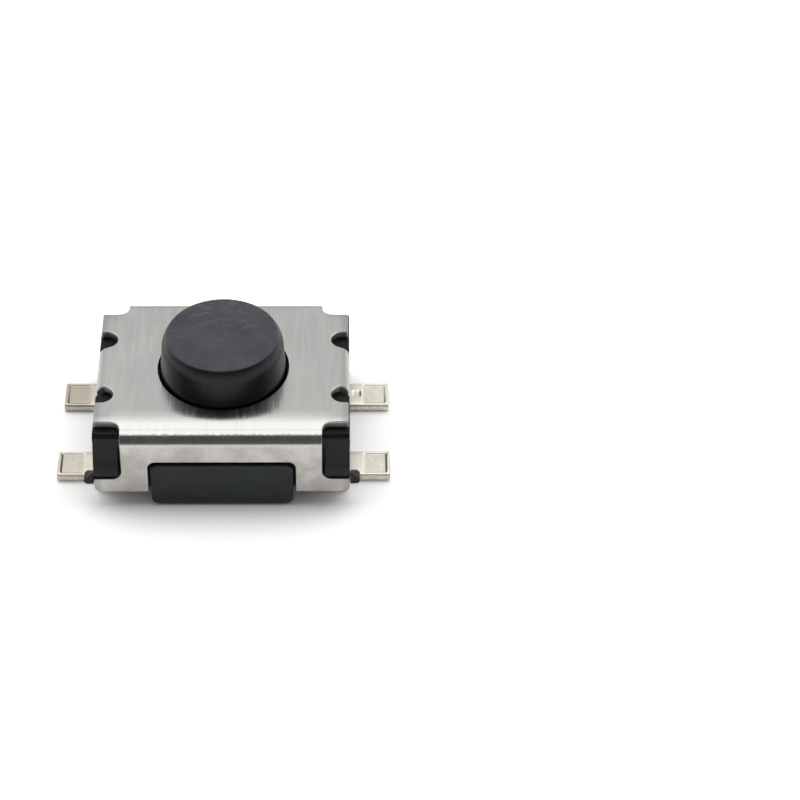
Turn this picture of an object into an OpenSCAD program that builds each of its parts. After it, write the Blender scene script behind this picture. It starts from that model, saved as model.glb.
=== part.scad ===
/* [Cover] */
// Length of the cover over its two end tabs
cover_l = 4.0; // [3.6:0.1:5.0]
// Width of the cover over its two side flaps
cover_w = 3.26; // [3.1:0.02:4.0]
// Height of the cover's top face above the board
cover_top = 1.45; // [1.35:0.05:1.8]
// Thickness of the cover's sheet
sheet = 0.13; // [0.08:0.01:0.15]
// Outside radius of the folds
bend_r = 0.18; // [0.16:0.01:0.24]
// How far the flat ears stop short of the end tabs' outer faces
ear_back = 0.02; // [0:0.01:0.05]

/* [Corner cut-outs] */
// Length of a cut-out, in from the end tab's face
corner_l = 0.43; // [0.35:0.01:0.5]
// Depth of a cut-out in the top, in from the flap's face
corner_w = 0.325; // [0.26:0.005:0.4]
// Radius of a cut-out's inner corners
corner_r = 0.14; // [0.06:0.01:0.16]

/* [End tabs and notches] */
// Height of a tab's lower edge above the board
tab_bottom = 0.9; // [0.8:0.02:1.0]
// Radius of a tab's lower corners
tab_r = 0.12; // [0.06:0.01:0.2]
// Distance of a relief notch's middle from the centre line
notch_y = 0.66; // [0.6:0.01:0.72]
// Width of a relief notch
notch_w = 0.38; // [0.3:0.01:0.44]
// Depth of a relief notch, in from the ear's edge
notch_l = 0.27; // [0.24:0.01:0.34]

/* [Side flaps] */
// Height of a flap's lower edge above the board
flap_bottom = 0.25; // [0.2:0.01:0.3]
// Height of a foot, from the flap's lower edge
foot_h = 0.28; // [0.2:0.01:0.32]
// How far a foot reaches past the ear's edge
foot_reach = 0.02; // [0:0.01:0.04]
// Radius of a foot's outer lower corner
foot_r = 0.1; // [0.04:0.01:0.12]
// Length of the window in a flap
window_l = 2.3; // [2.0:0.05:2.6]
// Height of the window's upper edge above the board
window_top = 0.87; // [0.75:0.01:1.0]
// Radius of the window's upper corners
window_r = 0.12; // [0.06:0.01:0.2]

/* [Base] */
// How far the moulding stands proud of the ears at each end
base_reach = 0.02; // [0.02:0.01:0.08]
// Height of the moulding's underside above the board
base_bottom = 0.02; // [0.01:0.01:0.05]
// Size of the bevels along the moulding's lower edges
base_bevel = 0.1; // [0.05:0.01:0.14]
// Size of the bevels along the moulding's upper edges, which clear the cover's folds
fold_bevel = 0.06; // [0.03:0.01:0.08]
// How far the side blocks stand proud of the flaps
block_reach = 0.03; // [0.01:0.01:0.05]
// Gap round a side block in its window
block_gap = 0.04; // [0.03:0.01:0.08]
// Radius of a side block's corners
block_r = 0.12; // [0.04:0.01:0.16]
// Gap between the moulding's lower part and each foot
foot_gap = 0.17; // [0.1:0.01:0.25]
// Gap between the shoulders and the feet's upper edges
shoulder_gap = 0.05; // [0.02:0.01:0.08]
// Gap round an end tab in its recess
tab_gap = 0.07; // [0.03:0.01:0.1]
// Height of the flush part of a corner post above its shoulder
post_h = 0.21; // [0.1:0.01:0.26]
// Height of the slope above it, up to the upright wall
post_slope = 0.33; // [0.2:0.01:0.36]

/* [Claws and arches] */
// Reach of the two front claws over the feet, past the moulding's ends
claw_reach = 0.16; // [0.08:0.01:0.2]
// How far a claw hangs below the shoulder
claw_drop = 0.16; // [0.1:0.01:0.22]
// Height of a claw's root above the shoulder
claw_root = 0.08; // [0.05:0.01:0.12]
// How far a claw's upper face falls from its outer side to its inner side
claw_fall = 0.12; // [0.06:0.01:0.15]
// Width of a claw
claw_w = 0.2; // [0.16:0.01:0.26]
// Size of the bevels on a claw
claw_bevel = 0.04; // [0.02:0.01:0.05]
// Depth of the arched recesses over the leads, at their foot
arch_depth = 0.1; // [0.04:0.01:0.12]
// Height of an arch above its lead
arch_h = 0.58; // [0.4:0.02:0.64]
// Room beside a lead in its arch
arch_side = 0.03; // [0.02:0.01:0.08]

/* [Plunger] */
// Height of the button above the cover
stem_h = 0.66; // [0.3:0.02:1.2]
// Diameter of the stem where it passes the cover
stem_d = 1.99; // [1.7:0.01:2.1]
// How much narrower the stem is at its top
stem_taper = 0.08; // [0:0.01:0.2]
// Radius of the stem's top edge
stem_edge_r = 0.12; // [0.05:0.01:0.15]
// Running gap round the stem in the cover's hole
stem_gap = 0.035; // [0.02:0.005:0.06]
// How far the retaining collar reaches past the hole
collar_reach = 0.15; // [0.1:0.01:0.2]
// Thickness of the retaining collar
collar_t = 0.2; // [0.15:0.01:0.25]
// Diameter of the boss that presses the dome
boss_d = 0.8; // [0.6:0.05:1.0]
// Travel of the button
travel = 0.2; // [0.1:0.01:0.22]

/* [Dome and film] */
// Diameter of the snap dome
dome_d = 2.12; // [1.9:0.02:2.2]
// Height of the dome's underside at its middle
dome_rise = 0.25; // [0.23:0.01:0.28]
// Thickness of the dome's sheet
dome_t = 0.05; // [0.03:0.01:0.06]
// Thickness of the sealing film
film_t = 0.03; // [0.02:0.01:0.04]
// Height of the ledge that carries the film, above the dome's rim
ledge_h = 0.02; // [0.01:0.01:0.04]
// Width of that ledge
ledge_w = 0.14; // [0.1:0.01:0.18]

/* [Contacts and leads] */
// Thickness of the contacts' sheet
lead_t = 0.14; // [0.1:0.01:0.15]
// Width of a lead
lead_w = 0.56; // [0.4:0.02:0.64]
// Distance between the two leads of one end
lead_pitch = 1.66; // [1.5:0.02:1.8]
// Reach of a lead past the moulding's end
lead_reach = 0.64; // [0.32:0.02:0.8]
// Distance of the step in a lead from the moulding's end
step_back = 0.11; // [0.1:0.01:0.2]
// Height of the outer contact's upper face, the floor of the well
floor_h = 0.55; // [0.5:0.01:0.6]
// Thickness of plastic between the outer and the centre contact
layer_gap = 0.06; // [0.04:0.01:0.08]
// Width of the ring that carries the dome's rim
ring_w = 0.3; // [0.2:0.02:0.36]
// Diameter of the centre contact's raised pad
pad_d = 0.5; // [0.4:0.05:0.7]
// Width of the slope round that pad
pad_slope = 0.16; // [0.1:0.01:0.2]
// Radius of the worn upper edge at a lead's tip
tip_r = 0.05; // [0.02:0.01:0.08]
// Distance of the coined hollow's middle from a lead's tip
hollow_back = 0.24; // [0.2:0.01:0.32]
// Depth of the coined hollow in a lead's upper face
hollow_depth = 0.02; // [0.01:0.005:0.03]
// Radius of the punch that coins the hollow
hollow_r = 1.1; // [0.6:0.1:1.4]
// Width of the rim beside the hollow
hollow_rim = 0.06; // [0.04:0.01:0.1]
// Diameter of the holes left in the underside by the pins that held the contacts
pin_hole_d = 0.3; // [0.2:0.02:0.4]

/* [Clearances] */
// Gap between seated pieces
seat_gap = 0.01; // [0.005:0.005:0.02]
// Gap round pieces that move
move_gap = 0.04; // [0.03:0.01:0.06]

/* [Hidden] */
$fn = 64;
// Overshoot of a cutter past the face that it opens
over = 0.1;
ends = [-1, 1];

cover_half_l = cover_l / 2;
cover_half_w = cover_w / 2;
inner_half_w = cover_half_w - sheet;
ear_x = cover_half_l - ear_back;
fold_x = cover_half_l - bend_r;
corner_x = cover_half_l - corner_l;
corner_y = cover_half_w - corner_w;
foot_x = ear_x + foot_reach;
foot_top = flap_bottom + foot_h;
notch_x = ear_x - notch_l;
notch_r = notch_w / 2;
tab_w = 2 * notch_y - notch_w;
hole_d = stem_d + 2 * stem_gap;

base_half_l = ear_x + base_reach;
base_half_w = inner_half_w - seat_gap;
base_top = cover_top - sheet - seat_gap;
lower_half_w = inner_half_w - foot_gap;
shoulder_z = foot_top + shoulder_gap;
post_x = corner_x + block_gap;
block_half_l = window_l / 2 - block_gap;
block_half_w = cover_half_w + block_reach;
block_top = window_top - block_gap;
claw_tip = base_half_l + claw_reach;

ring_d = dome_d + 2 * move_gap;
collar_d = hole_d + 2 * collar_reach;
well_d = max(collar_d + 2 * move_gap, ring_d + 2 * ledge_w);
ledge_z = floor_h + dome_t + ledge_h;
film_d = well_d - 2 * seat_gap;
film_rim_r = (dome_d + move_gap) / 2;
film_rise = dome_rise - ledge_h + seat_gap;
boss_z = ledge_z + film_rise + film_t + seat_gap;
pad_z = floor_h + dome_rise - travel;
collar_z = base_top - collar_t;
stem_top = cover_top + stem_h;

lead_y = lead_pitch / 2;
lead_x = base_half_l + lead_reach;
hollow_x = lead_x - hollow_back;
step_x = base_half_l - step_back;
step_angle = 45;
step_r = 0.06;
outer_z = floor_h - lead_t;
centre_z = outer_z - layer_gap - lead_t;

// A height on a shallow dome of radius 1, for a distance from its middle of 0 to 1
function crown(u) = 1 - u * u;

// The points of a dome's section, from its middle to its rim
function crown_line(r, z, rise, steps = 12) =
    [for (i = [0:steps]) [r * i / steps, z + rise * crown(i / steps)]];

// The same points, from the rim back to the middle
function crown_back(r, z, rise, steps = 12) =
    [for (i = [steps:-1:0]) [r * i / steps, z + rise * crown(i / steps)]];

// Points along an arc round a middle, from angle a0 to a1
function arc(middle, r, a0, a1, steps = 6) =
    [for (i = [0:steps]) let (a = a0 + (a1 - a0) * i / steps) middle + r * [cos(a), sin(a)]];

// A rectangle from one corner to the other, with all its corners rounded
module rounded_box(low, high, r) {
    size = high - low;
    translate(low + [r, 0]) square(size - [2 * r, 0]);
    translate(low + [0, r]) square(size - [0, 2 * r]);
    for (x = [low[0] + r, high[0] - r], y = [low[1] + r, high[1] - r]) translate([x, y]) circle(r);
}

// A rectangle of half width w from height z0 to z1, with its two upper corners rounded
module folded_outline(w, z0, z1, r) {
    translate([-w, z0]) square([2 * w, z1 - z0 - r]);
    translate([-w + r, z0]) square([2 * (w - r), z1 - z0]);
    for (s = ends) translate([s * (w - r), z1 - r]) circle(r);
}

// A stretch of bent sheet, of thickness t round the inner radius r, from angle a0 to a1
module bent_sheet(r, t, a0, a1) {
    far = 3 * (r + t);
    intersection() {
        difference() {
            circle(r + t);
            circle(r);
        }
        polygon([[0, 0], far * [cos(a0), sin(a0)], far * [cos(a1), sin(a1)]]);
    }
}

// Extrudes a profile drawn in Y and Z along X
module along_x(x0, x1) {
    translate([x0, 0, 0]) rotate([90, 0, 90]) linear_extrude(x1 - x0) children();
}

// Extrudes a profile drawn in X and Z along Y
module along_y(y0, y1) {
    translate([0, y1, 0]) rotate([90, 0, 0]) linear_extrude(y1 - y0) children();
}

// Extrudes a plan drawn in X and Y from height z0 to z1
module upright(z0, z1) {
    translate([0, 0, z0]) linear_extrude(z1 - z0) children();
}

// Repeats a shape at both short ends
module both_ends() {
    children();
    mirror([1, 0, 0]) children();
}

// Repeats a shape along both long sides
module both_sides() {
    children();
    mirror([0, 1, 0]) children();
}

// The sheet with its two long sides folded down, before anything is punched out
module folded_channel() {
    along_x(-foot_x, foot_x) difference() {
        folded_outline(cover_half_w, flap_bottom, cover_top, bend_r);
        folded_outline(inner_half_w, flap_bottom - over, cover_top - sheet, bend_r - sheet);
    }
}

// The outline of a flap, which rounds the feet's lower corners
module flap_outline() {
    rounded_box([-foot_x, flap_bottom], [foot_x, cover_top + over], foot_r);
}

// What is punched out of one corner: through the top, the fold and the flap, down to the foot
module corner_cut() {
    past_x = foot_x + over + corner_r;
    past_y = cover_half_w + over + corner_r;
    past_z = cover_top + over + corner_r;
    intersection() {
        upright(foot_top - over, past_z) rounded_box([corner_x, corner_y], [past_x, past_y], corner_r);
        along_y(corner_y - over, past_y) rounded_box([corner_x, foot_top], [past_x, past_z], corner_r);
    }
}

// A relief notch beside an end tab, open to the end
module relief_notch() {
    upright(tab_bottom, cover_top + over) translate([notch_x + notch_r, notch_y]) {
        circle(notch_r);
        translate([0, -notch_r]) square([cover_half_l, notch_w]);
    }
}

// The end of the top: its ears are trimmed, and its middle makes room for the tab's fold
module end_trim() {
    translate([ear_x, -cover_half_w, tab_bottom]) cube([bend_r, cover_w, cover_top]);
    translate([fold_x, -notch_y, tab_bottom]) cube([bend_r + over, 2 * notch_y, cover_top]);
}

// An end tab, folded down between the notches
module end_tab() {
    intersection() {
        along_y(-tab_w / 2, tab_w / 2) {
            translate([notch_x, cover_top - sheet]) square([fold_x - notch_x, sheet]);
            translate([fold_x, cover_top - bend_r]) bent_sheet(bend_r - sheet, sheet, 0, 90);
            translate([cover_half_l - sheet, tab_bottom]) square([sheet, cover_top - bend_r - tab_bottom]);
        }
        along_x(notch_x - over, cover_half_l + over)
            rounded_box([-tab_w / 2, tab_bottom], [tab_w / 2, cover_top + tab_r + over], tab_r);
    }
}

module cover() {
    color([0.72, 0.72, 0.7]) {
        difference() {
            intersection() {
                folded_channel();
                along_y(-cover_w, cover_w) flap_outline();
            }
            along_y(-cover_w, cover_w)
                rounded_box([-window_l / 2, -window_r - over], [window_l / 2, window_top], window_r);
            both_ends() both_sides() corner_cut();
            both_ends() both_sides() relief_notch();
            both_ends() end_trim();
            upright(base_top, cover_top + over) circle(d = hole_d);
        }
        both_ends() end_tab();
    }
}

// The moulding's lower part, narrower than the feet leave room for, with bevelled lower edges
module lower_part() {
    along_x(-base_half_l, base_half_l) polygon([
        [-lower_half_w, base_bottom + base_bevel],
        [-lower_half_w + base_bevel, base_bottom],
        [lower_half_w - base_bevel, base_bottom],
        [lower_half_w, base_bottom + base_bevel],
        [lower_half_w, base_top],
        [-lower_half_w, base_top],
    ]);
}

// The moulding's upper part, which fills the cover between its flaps, with bevelled upper edges
module upper_part() {
    along_x(-base_half_l, base_half_l) polygon([
        [-base_half_w, shoulder_z],
        [base_half_w, shoulder_z],
        [base_half_w, base_top - fold_bevel],
        [base_half_w - fold_bevel, base_top],
        [-base_half_w + fold_bevel, base_top],
        [-base_half_w, base_top - fold_bevel],
    ]);
}

// The two blocks that fill the windows, run through as one
module side_blocks() {
    along_y(-block_half_w, block_half_w)
        rounded_box([-block_half_l, base_bottom], [block_half_l, block_top], block_r);
}

// A claw at a front corner of the moulding, beyond the foot's end. It hangs from the corner post.
module claw() {
    low = shoulder_z - claw_drop;
    top = shoulder_z + claw_root;
    inner_y = cover_half_w - claw_w;
    intersection() {
        along_y(inner_y, cover_half_w) polygon([
            [foot_x + seat_gap, low],
            [claw_tip - claw_bevel, low],
            [claw_tip, low + claw_bevel],
            [claw_tip, shoulder_z - 2 * claw_bevel],
            [claw_tip - claw_bevel, shoulder_z - claw_bevel],
            [base_half_l, top],
            [base_half_l - claw_w, top],
            [base_half_l - claw_w, shoulder_z],
            [foot_x + seat_gap, shoulder_z],
        ]);
        along_x(base_half_l - claw_w, claw_tip) polygon([
            [inner_y, low],
            [cover_half_w, low],
            [cover_half_w, top],
            [inner_y, top - claw_fall],
        ]);
    }
}

// The outer side of a corner post, which slopes out to lie flush with the flap above the foot
module corner_post() {
    along_x(post_x, base_half_l) polygon([
        [lower_half_w, shoulder_z],
        [cover_half_w, shoulder_z],
        [cover_half_w, shoulder_z + post_h],
        [base_half_w, shoulder_z + post_h + post_slope],
        [lower_half_w, shoulder_z + post_h + post_slope],
    ]);
}

// The recess for an end tab
module tab_recess() {
    half = tab_w / 2 + tab_gap;
    along_x(cover_half_l - sheet - seat_gap, base_half_l + over)
        rounded_box([-half, tab_bottom - tab_gap], [half, cover_top + tab_r + tab_gap], tab_r + tab_gap);
}

// The arched recess over one lead, which slopes in from its top down to the lead
module lead_arch() {
    half = lead_w / 2 + arch_side;
    top = lead_t + arch_h;
    intersection() {
        along_x(base_half_l - arch_depth, base_half_l + over) {
            translate([lead_y - half, -over]) square([2 * half, top - half + over]);
            translate([lead_y, top - half]) circle(half);
        }
        along_y(lead_y - half - over, lead_y + half + over) polygon([
            [base_half_l - arch_depth, -over],
            [base_half_l + over, -over],
            [base_half_l + over, top + over],
            [base_half_l, top],
            [base_half_l - arch_depth, lead_t],
        ]);
    }
}

// The stepped well for the dome, the film and the collar
module well() {
    upright(floor_h, base_top + over) circle(d = ring_d);
    upright(ledge_z, base_top + over) circle(d = well_d);
}

// The holes that the pins under the contacts leave, up to each contact
module pin_holes() {
    both_ends() {
        upright(base_bottom - over, outer_z) translate([window_l / 4, lead_y]) circle(d = pin_hole_d);
        upright(base_bottom - over, centre_z) translate([window_l / 4, -lead_y]) circle(d = pin_hole_d);
    }
}

module base() {
    color([0.16, 0.16, 0.17]) difference() {
        union() {
            upper_part();
            lower_part();
            side_blocks();
            both_ends() both_sides() corner_post();
            both_ends() mirror([0, 1, 0]) claw();
        }
        well();
        both_ends() tab_recess();
        both_ends() both_sides() lead_arch();
        pin_holes();
        outer_contact_shape();
        centre_contact_shape();
    }
}

module plunger() {
    top_r = (stem_d - stem_taper) / 2;
    color([0.25, 0.26, 0.28]) rotate_extrude() {
        polygon([
            [0, boss_z],
            [boss_d / 2, boss_z],
            [boss_d / 2, collar_z],
            [collar_d / 2, collar_z],
            [collar_d / 2, base_top],
            [stem_d / 2, base_top],
            [stem_d / 2, cover_top],
            [top_r, stem_top - stem_edge_r],
            [top_r - stem_edge_r, stem_top],
            [0, stem_top],
        ]);
        translate([top_r - stem_edge_r, stem_top - stem_edge_r]) circle(stem_edge_r);
    }
}

module snap_dome() {
    color([0.8, 0.8, 0.78]) rotate_extrude() polygon(concat(
        crown_line(dome_d / 2, floor_h + dome_t, dome_rise),
        crown_back(dome_d / 2, floor_h, dome_rise)
    ));
}

module sealing_film() {
    color([0.75, 0.5, 0.2]) rotate_extrude() polygon(concat(
        crown_line(film_rim_r, ledge_z + film_t, film_rise),
        [[film_d / 2, ledge_z + film_t], [film_d / 2, ledge_z]],
        crown_back(film_rim_r, ledge_z, film_rise)
    ));
}

// Half the section of a contact, from its tip along the underside to the middle and back along the top:
// flat on the board, up a step, then level at height z
function lead_section(z) =
    let (
        mid_r = step_r + lead_t / 2,
        slope = z - 2 * mid_r * (1 - cos(step_angle)),
        run = 2 * mid_r * sin(step_angle) + slope / tan(step_angle),
        low = [step_x, lead_t + step_r],
        high = [step_x - run, z - step_r]
    )
    concat(
        [[lead_x, 0]],
        arc(low, step_r + lead_t, 270, 270 - step_angle),
        arc(high, step_r, 90 - step_angle, 90),
        [[0, z], [0, z + lead_t]],
        arc(high, step_r + lead_t, 90, 90 - step_angle),
        arc(low, step_r, 270 - step_angle, 270),
        arc([lead_x - tip_r, lead_t - tip_r], tip_r, 90, 0)
    );

// A strip with a lead at each end, at the distance y from the middle
module lead_strip(z, y) {
    hollow_half_w = lead_w / 2 - hollow_rim;
    difference() {
        both_ends() along_y(y - lead_w / 2, y + lead_w / 2) polygon(lead_section(z));
        both_ends() along_y(y - hollow_half_w, y + hollow_half_w)
            translate([hollow_x, lead_t - hollow_depth + hollow_r]) circle(hollow_r);
    }
}

module outer_contact_shape() {
    lead_strip(outer_z, lead_y);
    upright(outer_z, floor_h) difference() {
        circle(d = ring_d);
        circle(d = ring_d - 2 * ring_w);
    }
}

// The tongue from the front strip to the middle, ending in a pad drawn up through the floor
module centre_contact_shape() {
    pad_r = pad_d / 2;
    foot_w = pad_r + pad_slope;
    lead_strip(centre_z, -lead_y);
    difference() {
        union() {
            upright(centre_z, centre_z + lead_t) {
                translate([-foot_w, -lead_y]) square([2 * foot_w, lead_y]);
                circle(foot_w);
            }
            translate([0, 0, centre_z + lead_t]) cylinder(h = pad_z - centre_z - lead_t, r1 = foot_w, r2 = pad_r);
        }
        translate([0, 0, centre_z - over]) cylinder(h = over, r = pad_r);
        translate([0, 0, centre_z]) cylinder(h = pad_z - centre_z - lead_t, r1 = pad_r, r2 = pad_r - pad_slope);
    }
}

module outer_contact() {
    color([0.85, 0.82, 0.74]) outer_contact_shape();
}

module centre_contact() {
    color([0.85, 0.82, 0.74]) centre_contact_shape();
}

cover();
base();
plunger();
snap_dome();
sealing_film();
outer_contact();
centre_contact();
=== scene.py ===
# %% [markdown]
# # A tactile push button switch, dressed piece by piece
# The switch is about 5 mm long and solders flat onto a circuit board. A folded steel cover holds a
# round button down on a black moulding, and four flat leads come out at its short ends. The packed
# CAD model is loaded first, as a fixed frame: it says where every piece lies, and nothing here
# moves it. Each visible piece is then built again with the small rounded edges and the finish that
# a real one has.

import math

import bmesh
import bpy
from mathutils import Matrix, Vector


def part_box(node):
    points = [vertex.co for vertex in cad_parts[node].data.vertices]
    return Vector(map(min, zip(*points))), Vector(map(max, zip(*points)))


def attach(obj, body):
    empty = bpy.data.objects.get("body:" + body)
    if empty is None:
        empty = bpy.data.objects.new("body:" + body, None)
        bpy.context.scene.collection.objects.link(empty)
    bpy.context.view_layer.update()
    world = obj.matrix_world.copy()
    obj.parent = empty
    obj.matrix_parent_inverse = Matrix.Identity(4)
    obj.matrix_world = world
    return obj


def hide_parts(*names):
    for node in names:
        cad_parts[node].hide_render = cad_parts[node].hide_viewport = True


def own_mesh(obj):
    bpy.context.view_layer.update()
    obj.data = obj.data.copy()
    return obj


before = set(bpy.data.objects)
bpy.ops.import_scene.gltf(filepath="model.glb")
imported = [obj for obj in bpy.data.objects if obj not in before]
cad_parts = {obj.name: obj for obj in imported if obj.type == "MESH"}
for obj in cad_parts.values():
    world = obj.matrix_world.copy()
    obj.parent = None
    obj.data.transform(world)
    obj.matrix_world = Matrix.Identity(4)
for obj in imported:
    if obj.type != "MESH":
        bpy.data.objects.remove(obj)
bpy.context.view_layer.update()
MM = 0.001

# %% [markdown]
# ## The camera
# The photograph was taken from the front, about 42 degrees above the table, with a long lens. The
# camera's place was found by fitting known corners of the cover to where they show in the picture,
# so the values below are a position in millimetres and three angles in radians. A camera looks
# along its own -Z axis, so its rotation is written as the three directions that its right, up and
# back sides point in.

# %% Place the camera
camera_place = Vector((1.78, -32.191, 29.335))
look_down = 0.72624
turn = -0.0321
tilt = 0.0201
picture_px = 800
focal_px = 2680
sensor_mm = 36
nearest_seen_mm = 1
farthest_seen_m = 10

turned = Matrix.Rotation(turn, 3, "Z")
level_right = turned @ Vector((1, 0, 0))
level_up = turned @ Vector((0, math.sin(look_down), math.cos(look_down)))
back = turned @ Vector((0, -math.cos(look_down), math.sin(look_down)))
right = math.cos(tilt) * level_right + math.sin(tilt) * level_up
up = math.cos(tilt) * level_up - math.sin(tilt) * level_right

camera_data = bpy.data.cameras.new("camera")
camera_data.sensor_width = sensor_mm
camera_data.lens = focal_px / picture_px * sensor_mm
camera_data.clip_start = nearest_seen_mm * MM
camera_data.clip_end = farthest_seen_m
camera = bpy.data.objects.new("camera", camera_data)
bpy.context.scene.collection.objects.link(camera)
camera.matrix_world = Matrix.LocRotScale(
    camera_place * MM, Matrix((right, up, back)).transposed().to_quaternion(), None
)
bpy.context.scene.camera = camera
print("Lens", round(camera_data.lens, 1), "mm, distance", round(camera_place.length, 1), "mm")

# %% [markdown]
# ## Node trees as expressions
# Materials, the world and Geometry Nodes are all trees of nodes. Wiring them link by link is hard
# to read, so one small class wraps a socket: arithmetic on it adds the Math nodes, and `1 - mask`
# works because the reflected forms are there too. Every other node comes from `Recipe.add`, which
# takes the node's type, its settings and its inputs. Inputs are named by the socket's identifier,
# because some nodes have several sockets of the same name.

# %% A small wrapper for node trees
class Value:
    """One output of a node. Arithmetic on it adds Math nodes to the same tree."""

    def __init__(self, recipe, socket):
        self.recipe = recipe
        self.socket = socket

    def output(self, identifier):
        """Another output of the same node."""
        return self.recipe.pick(self.socket.node, identifier)

    def __add__(self, other):
        return self.recipe.math("ADD", self, other)

    def __sub__(self, other):
        return self.recipe.math("SUBTRACT", self, other)

    def __mul__(self, other):
        return self.recipe.math("MULTIPLY", self, other)

    def __truediv__(self, other):
        return self.recipe.math("DIVIDE", self, other)

    def __pow__(self, other):
        return self.recipe.math("POWER", self, other)

    def __radd__(self, other):
        return self.recipe.math("ADD", other, self)

    def __rsub__(self, other):
        return self.recipe.math("SUBTRACT", other, self)

    def __rmul__(self, other):
        return self.recipe.math("MULTIPLY", other, self)

    def __gt__(self, other):
        return self.recipe.math("GREATER_THAN", self, other)

    def __abs__(self):
        return self.recipe.math("ABSOLUTE", self)


class Recipe:
    """A node tree in the making."""

    def __init__(self, tree):
        self.tree = tree
        tree.nodes.clear()

    def pick(self, node, identifier):
        """One output of a node, or its first."""
        sockets = {socket.identifier: socket for socket in node.outputs}
        return Value(self, sockets[identifier] if identifier else node.outputs[0])

    def add(self, kind, settings=None, inputs=None, output=None):
        """Adds a node, sets it up, fills its inputs and returns one of its outputs."""
        node = self.tree.nodes.new(kind)
        for name, setting in (settings or {}).items():
            setattr(node, name, setting)
        sockets = {socket.identifier: socket for socket in node.inputs}
        for name, value in (inputs or {}).items():
            if isinstance(value, Value):
                self.tree.links.new(value.socket, sockets[name])
            else:
                sockets[name].default_value = value
        return self.pick(node, output) if node.outputs else node

    def math(self, operation, *values):
        names = ("Value", "Value_001", "Value_002")
        settings = {"operation": operation}
        return self.add("ShaderNodeMath", settings, dict(zip(names, values)))

    def smooth(self, value, low, high):
        """Rises smoothly from 0 at low to 1 at high."""
        settings = {"interpolation_type": "SMOOTHSTEP"}
        names = {"Value": value, "From Min": low, "From Max": high}
        return self.add("ShaderNodeMapRange", settings, names, "Result")

    def mix(self, factor, first, second):
        """Blends two colours, each of them a socket or its red, green and blue."""
        first, second = (
            colour if isinstance(colour, Value) else (*colour, 1) for colour in (first, second)
        )
        names = {"Factor_Float": factor, "A_Color": first, "B_Color": second}
        return self.add("ShaderNodeMix", {"data_type": "RGBA"}, names, "Result_Color")

    def split(self, vector):
        """A vector's three parts."""
        x = self.add("ShaderNodeSeparateXYZ", None, {"Vector": vector}, "X")
        return x, x.output("Y"), x.output("Z")

    def scaled(self, vector, factors):
        """Stretches a vector by three factors."""
        names = {"Vector": vector, "Vector_001": factors}
        return self.add("ShaderNodeVectorMath", {"operation": "MULTIPLY"}, names, "Vector")

    def noise(self, vector, scale, detail=2.0, roughness=0.5):
        """Cloudy noise between 0 and 1."""
        names = {"Vector": vector, "Scale": scale, "Detail": detail, "Roughness": roughness}
        return self.add("ShaderNodeTexNoise", None, names, "Fac")


# %% [markdown]
# ## Outlines with rounded corners
# Stamped and moulded parts are drawn as outlines whose corners carry a radius. One function turns
# a list of corners, each written as x, y and radius, into points. It works for outer and inner
# corners alike, and two corners whose radius is half the width between them make a round slot end.

# %% Draw outlines
def rounded(corners, steps=8, closed=True):
    """The points of an outline whose corners are (x, y, radius)."""
    points = []
    count = len(corners)
    for i, (x, y, radius) in enumerate(corners):
        corner = Vector((x, y))
        if radius == 0 or (not closed and i in (0, count - 1)):
            points.append(corner)
            continue
        towards_last = (Vector(corners[i - 1][:2]) - corner).normalized()
        towards_next = (Vector(corners[(i + 1) % count][:2]) - corner).normalized()
        half = towards_last.angle(towards_next) / 2
        centre = corner + (towards_last + towards_next).normalized() * radius / math.sin(half)
        start = corner + towards_last * radius / math.tan(half) - centre
        end = corner + towards_next * radius / math.tan(half) - centre
        first = math.atan2(start.y, start.x)
        sweep = (math.atan2(end.y, end.x) - first + math.pi) % (2 * math.pi) - math.pi
        for k in range(steps + 1):
            angle = first + sweep * k / steps
            points.append(centre + radius * Vector((math.cos(angle), math.sin(angle))))
    return points


def circle_points(radius, steps):
    """A circle's points, anticlockwise."""
    angles = (2 * math.pi * k / steps for k in range(steps))
    return [radius * Vector((math.cos(angle), math.sin(angle))) for angle in angles]


def signed_area(points):
    """An outline's area, above 0 where it runs anticlockwise."""
    pairs = zip(points, points[1:] + points[:1])
    return sum(a.x * b.y - b.x * a.y for a, b in pairs) / 2


def inset(points, distance):
    """An outline moved to its left by a distance, which is inwards when it runs anticlockwise."""
    moved = []
    for i, point in enumerate(points):
        before = (point - points[i - 1]).normalized()
        after = (points[(i + 1) % len(points)] - point).normalized()
        side_a = Vector((-before.y, before.x))
        side_b = Vector((-after.y, after.x))
        moved.append(point + (side_a + side_b) * distance / (1 + side_a.dot(side_b)))
    return moved


# %% [markdown]
# ## From working mesh to finished piece
# Blender's modelling tools have tolerances near a thousandth of a millimetre, which is a lot on a
# part of 5 mm measured in metres. So every piece is modelled in millimetres, with its modifiers
# live, and turned into a plain mesh in metres at the end. A Weighted Normal modifier keeps the flat
# faces looking flat beside their small rounded edges.

# %% Working objects and finished pieces
flat_face_weight = 60


def linked_object(name, mesh):
    """A new object with this mesh, put into the scene."""
    made = bpy.data.objects.new(name, mesh)
    bpy.context.scene.collection.objects.link(made)
    return made


def working_object(name, bm):
    """An object in millimetres, made from a bmesh."""
    mesh = bpy.data.meshes.new(name)
    bm.to_mesh(mesh)
    bm.free()
    return linked_object(name, mesh)


def modifier(made, kind, **settings):
    """Adds a modifier and fills its settings."""
    added = made.modifiers.new(kind.lower(), kind)
    for name, setting in settings.items():
        setattr(added, name, setting)
    return added


def evaluated_mesh(made):
    """The object's shape with its modifiers applied, as a mesh of its own."""
    graph = bpy.context.evaluated_depsgraph_get()
    return bpy.data.meshes.new_from_object(made.evaluated_get(graph))


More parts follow.
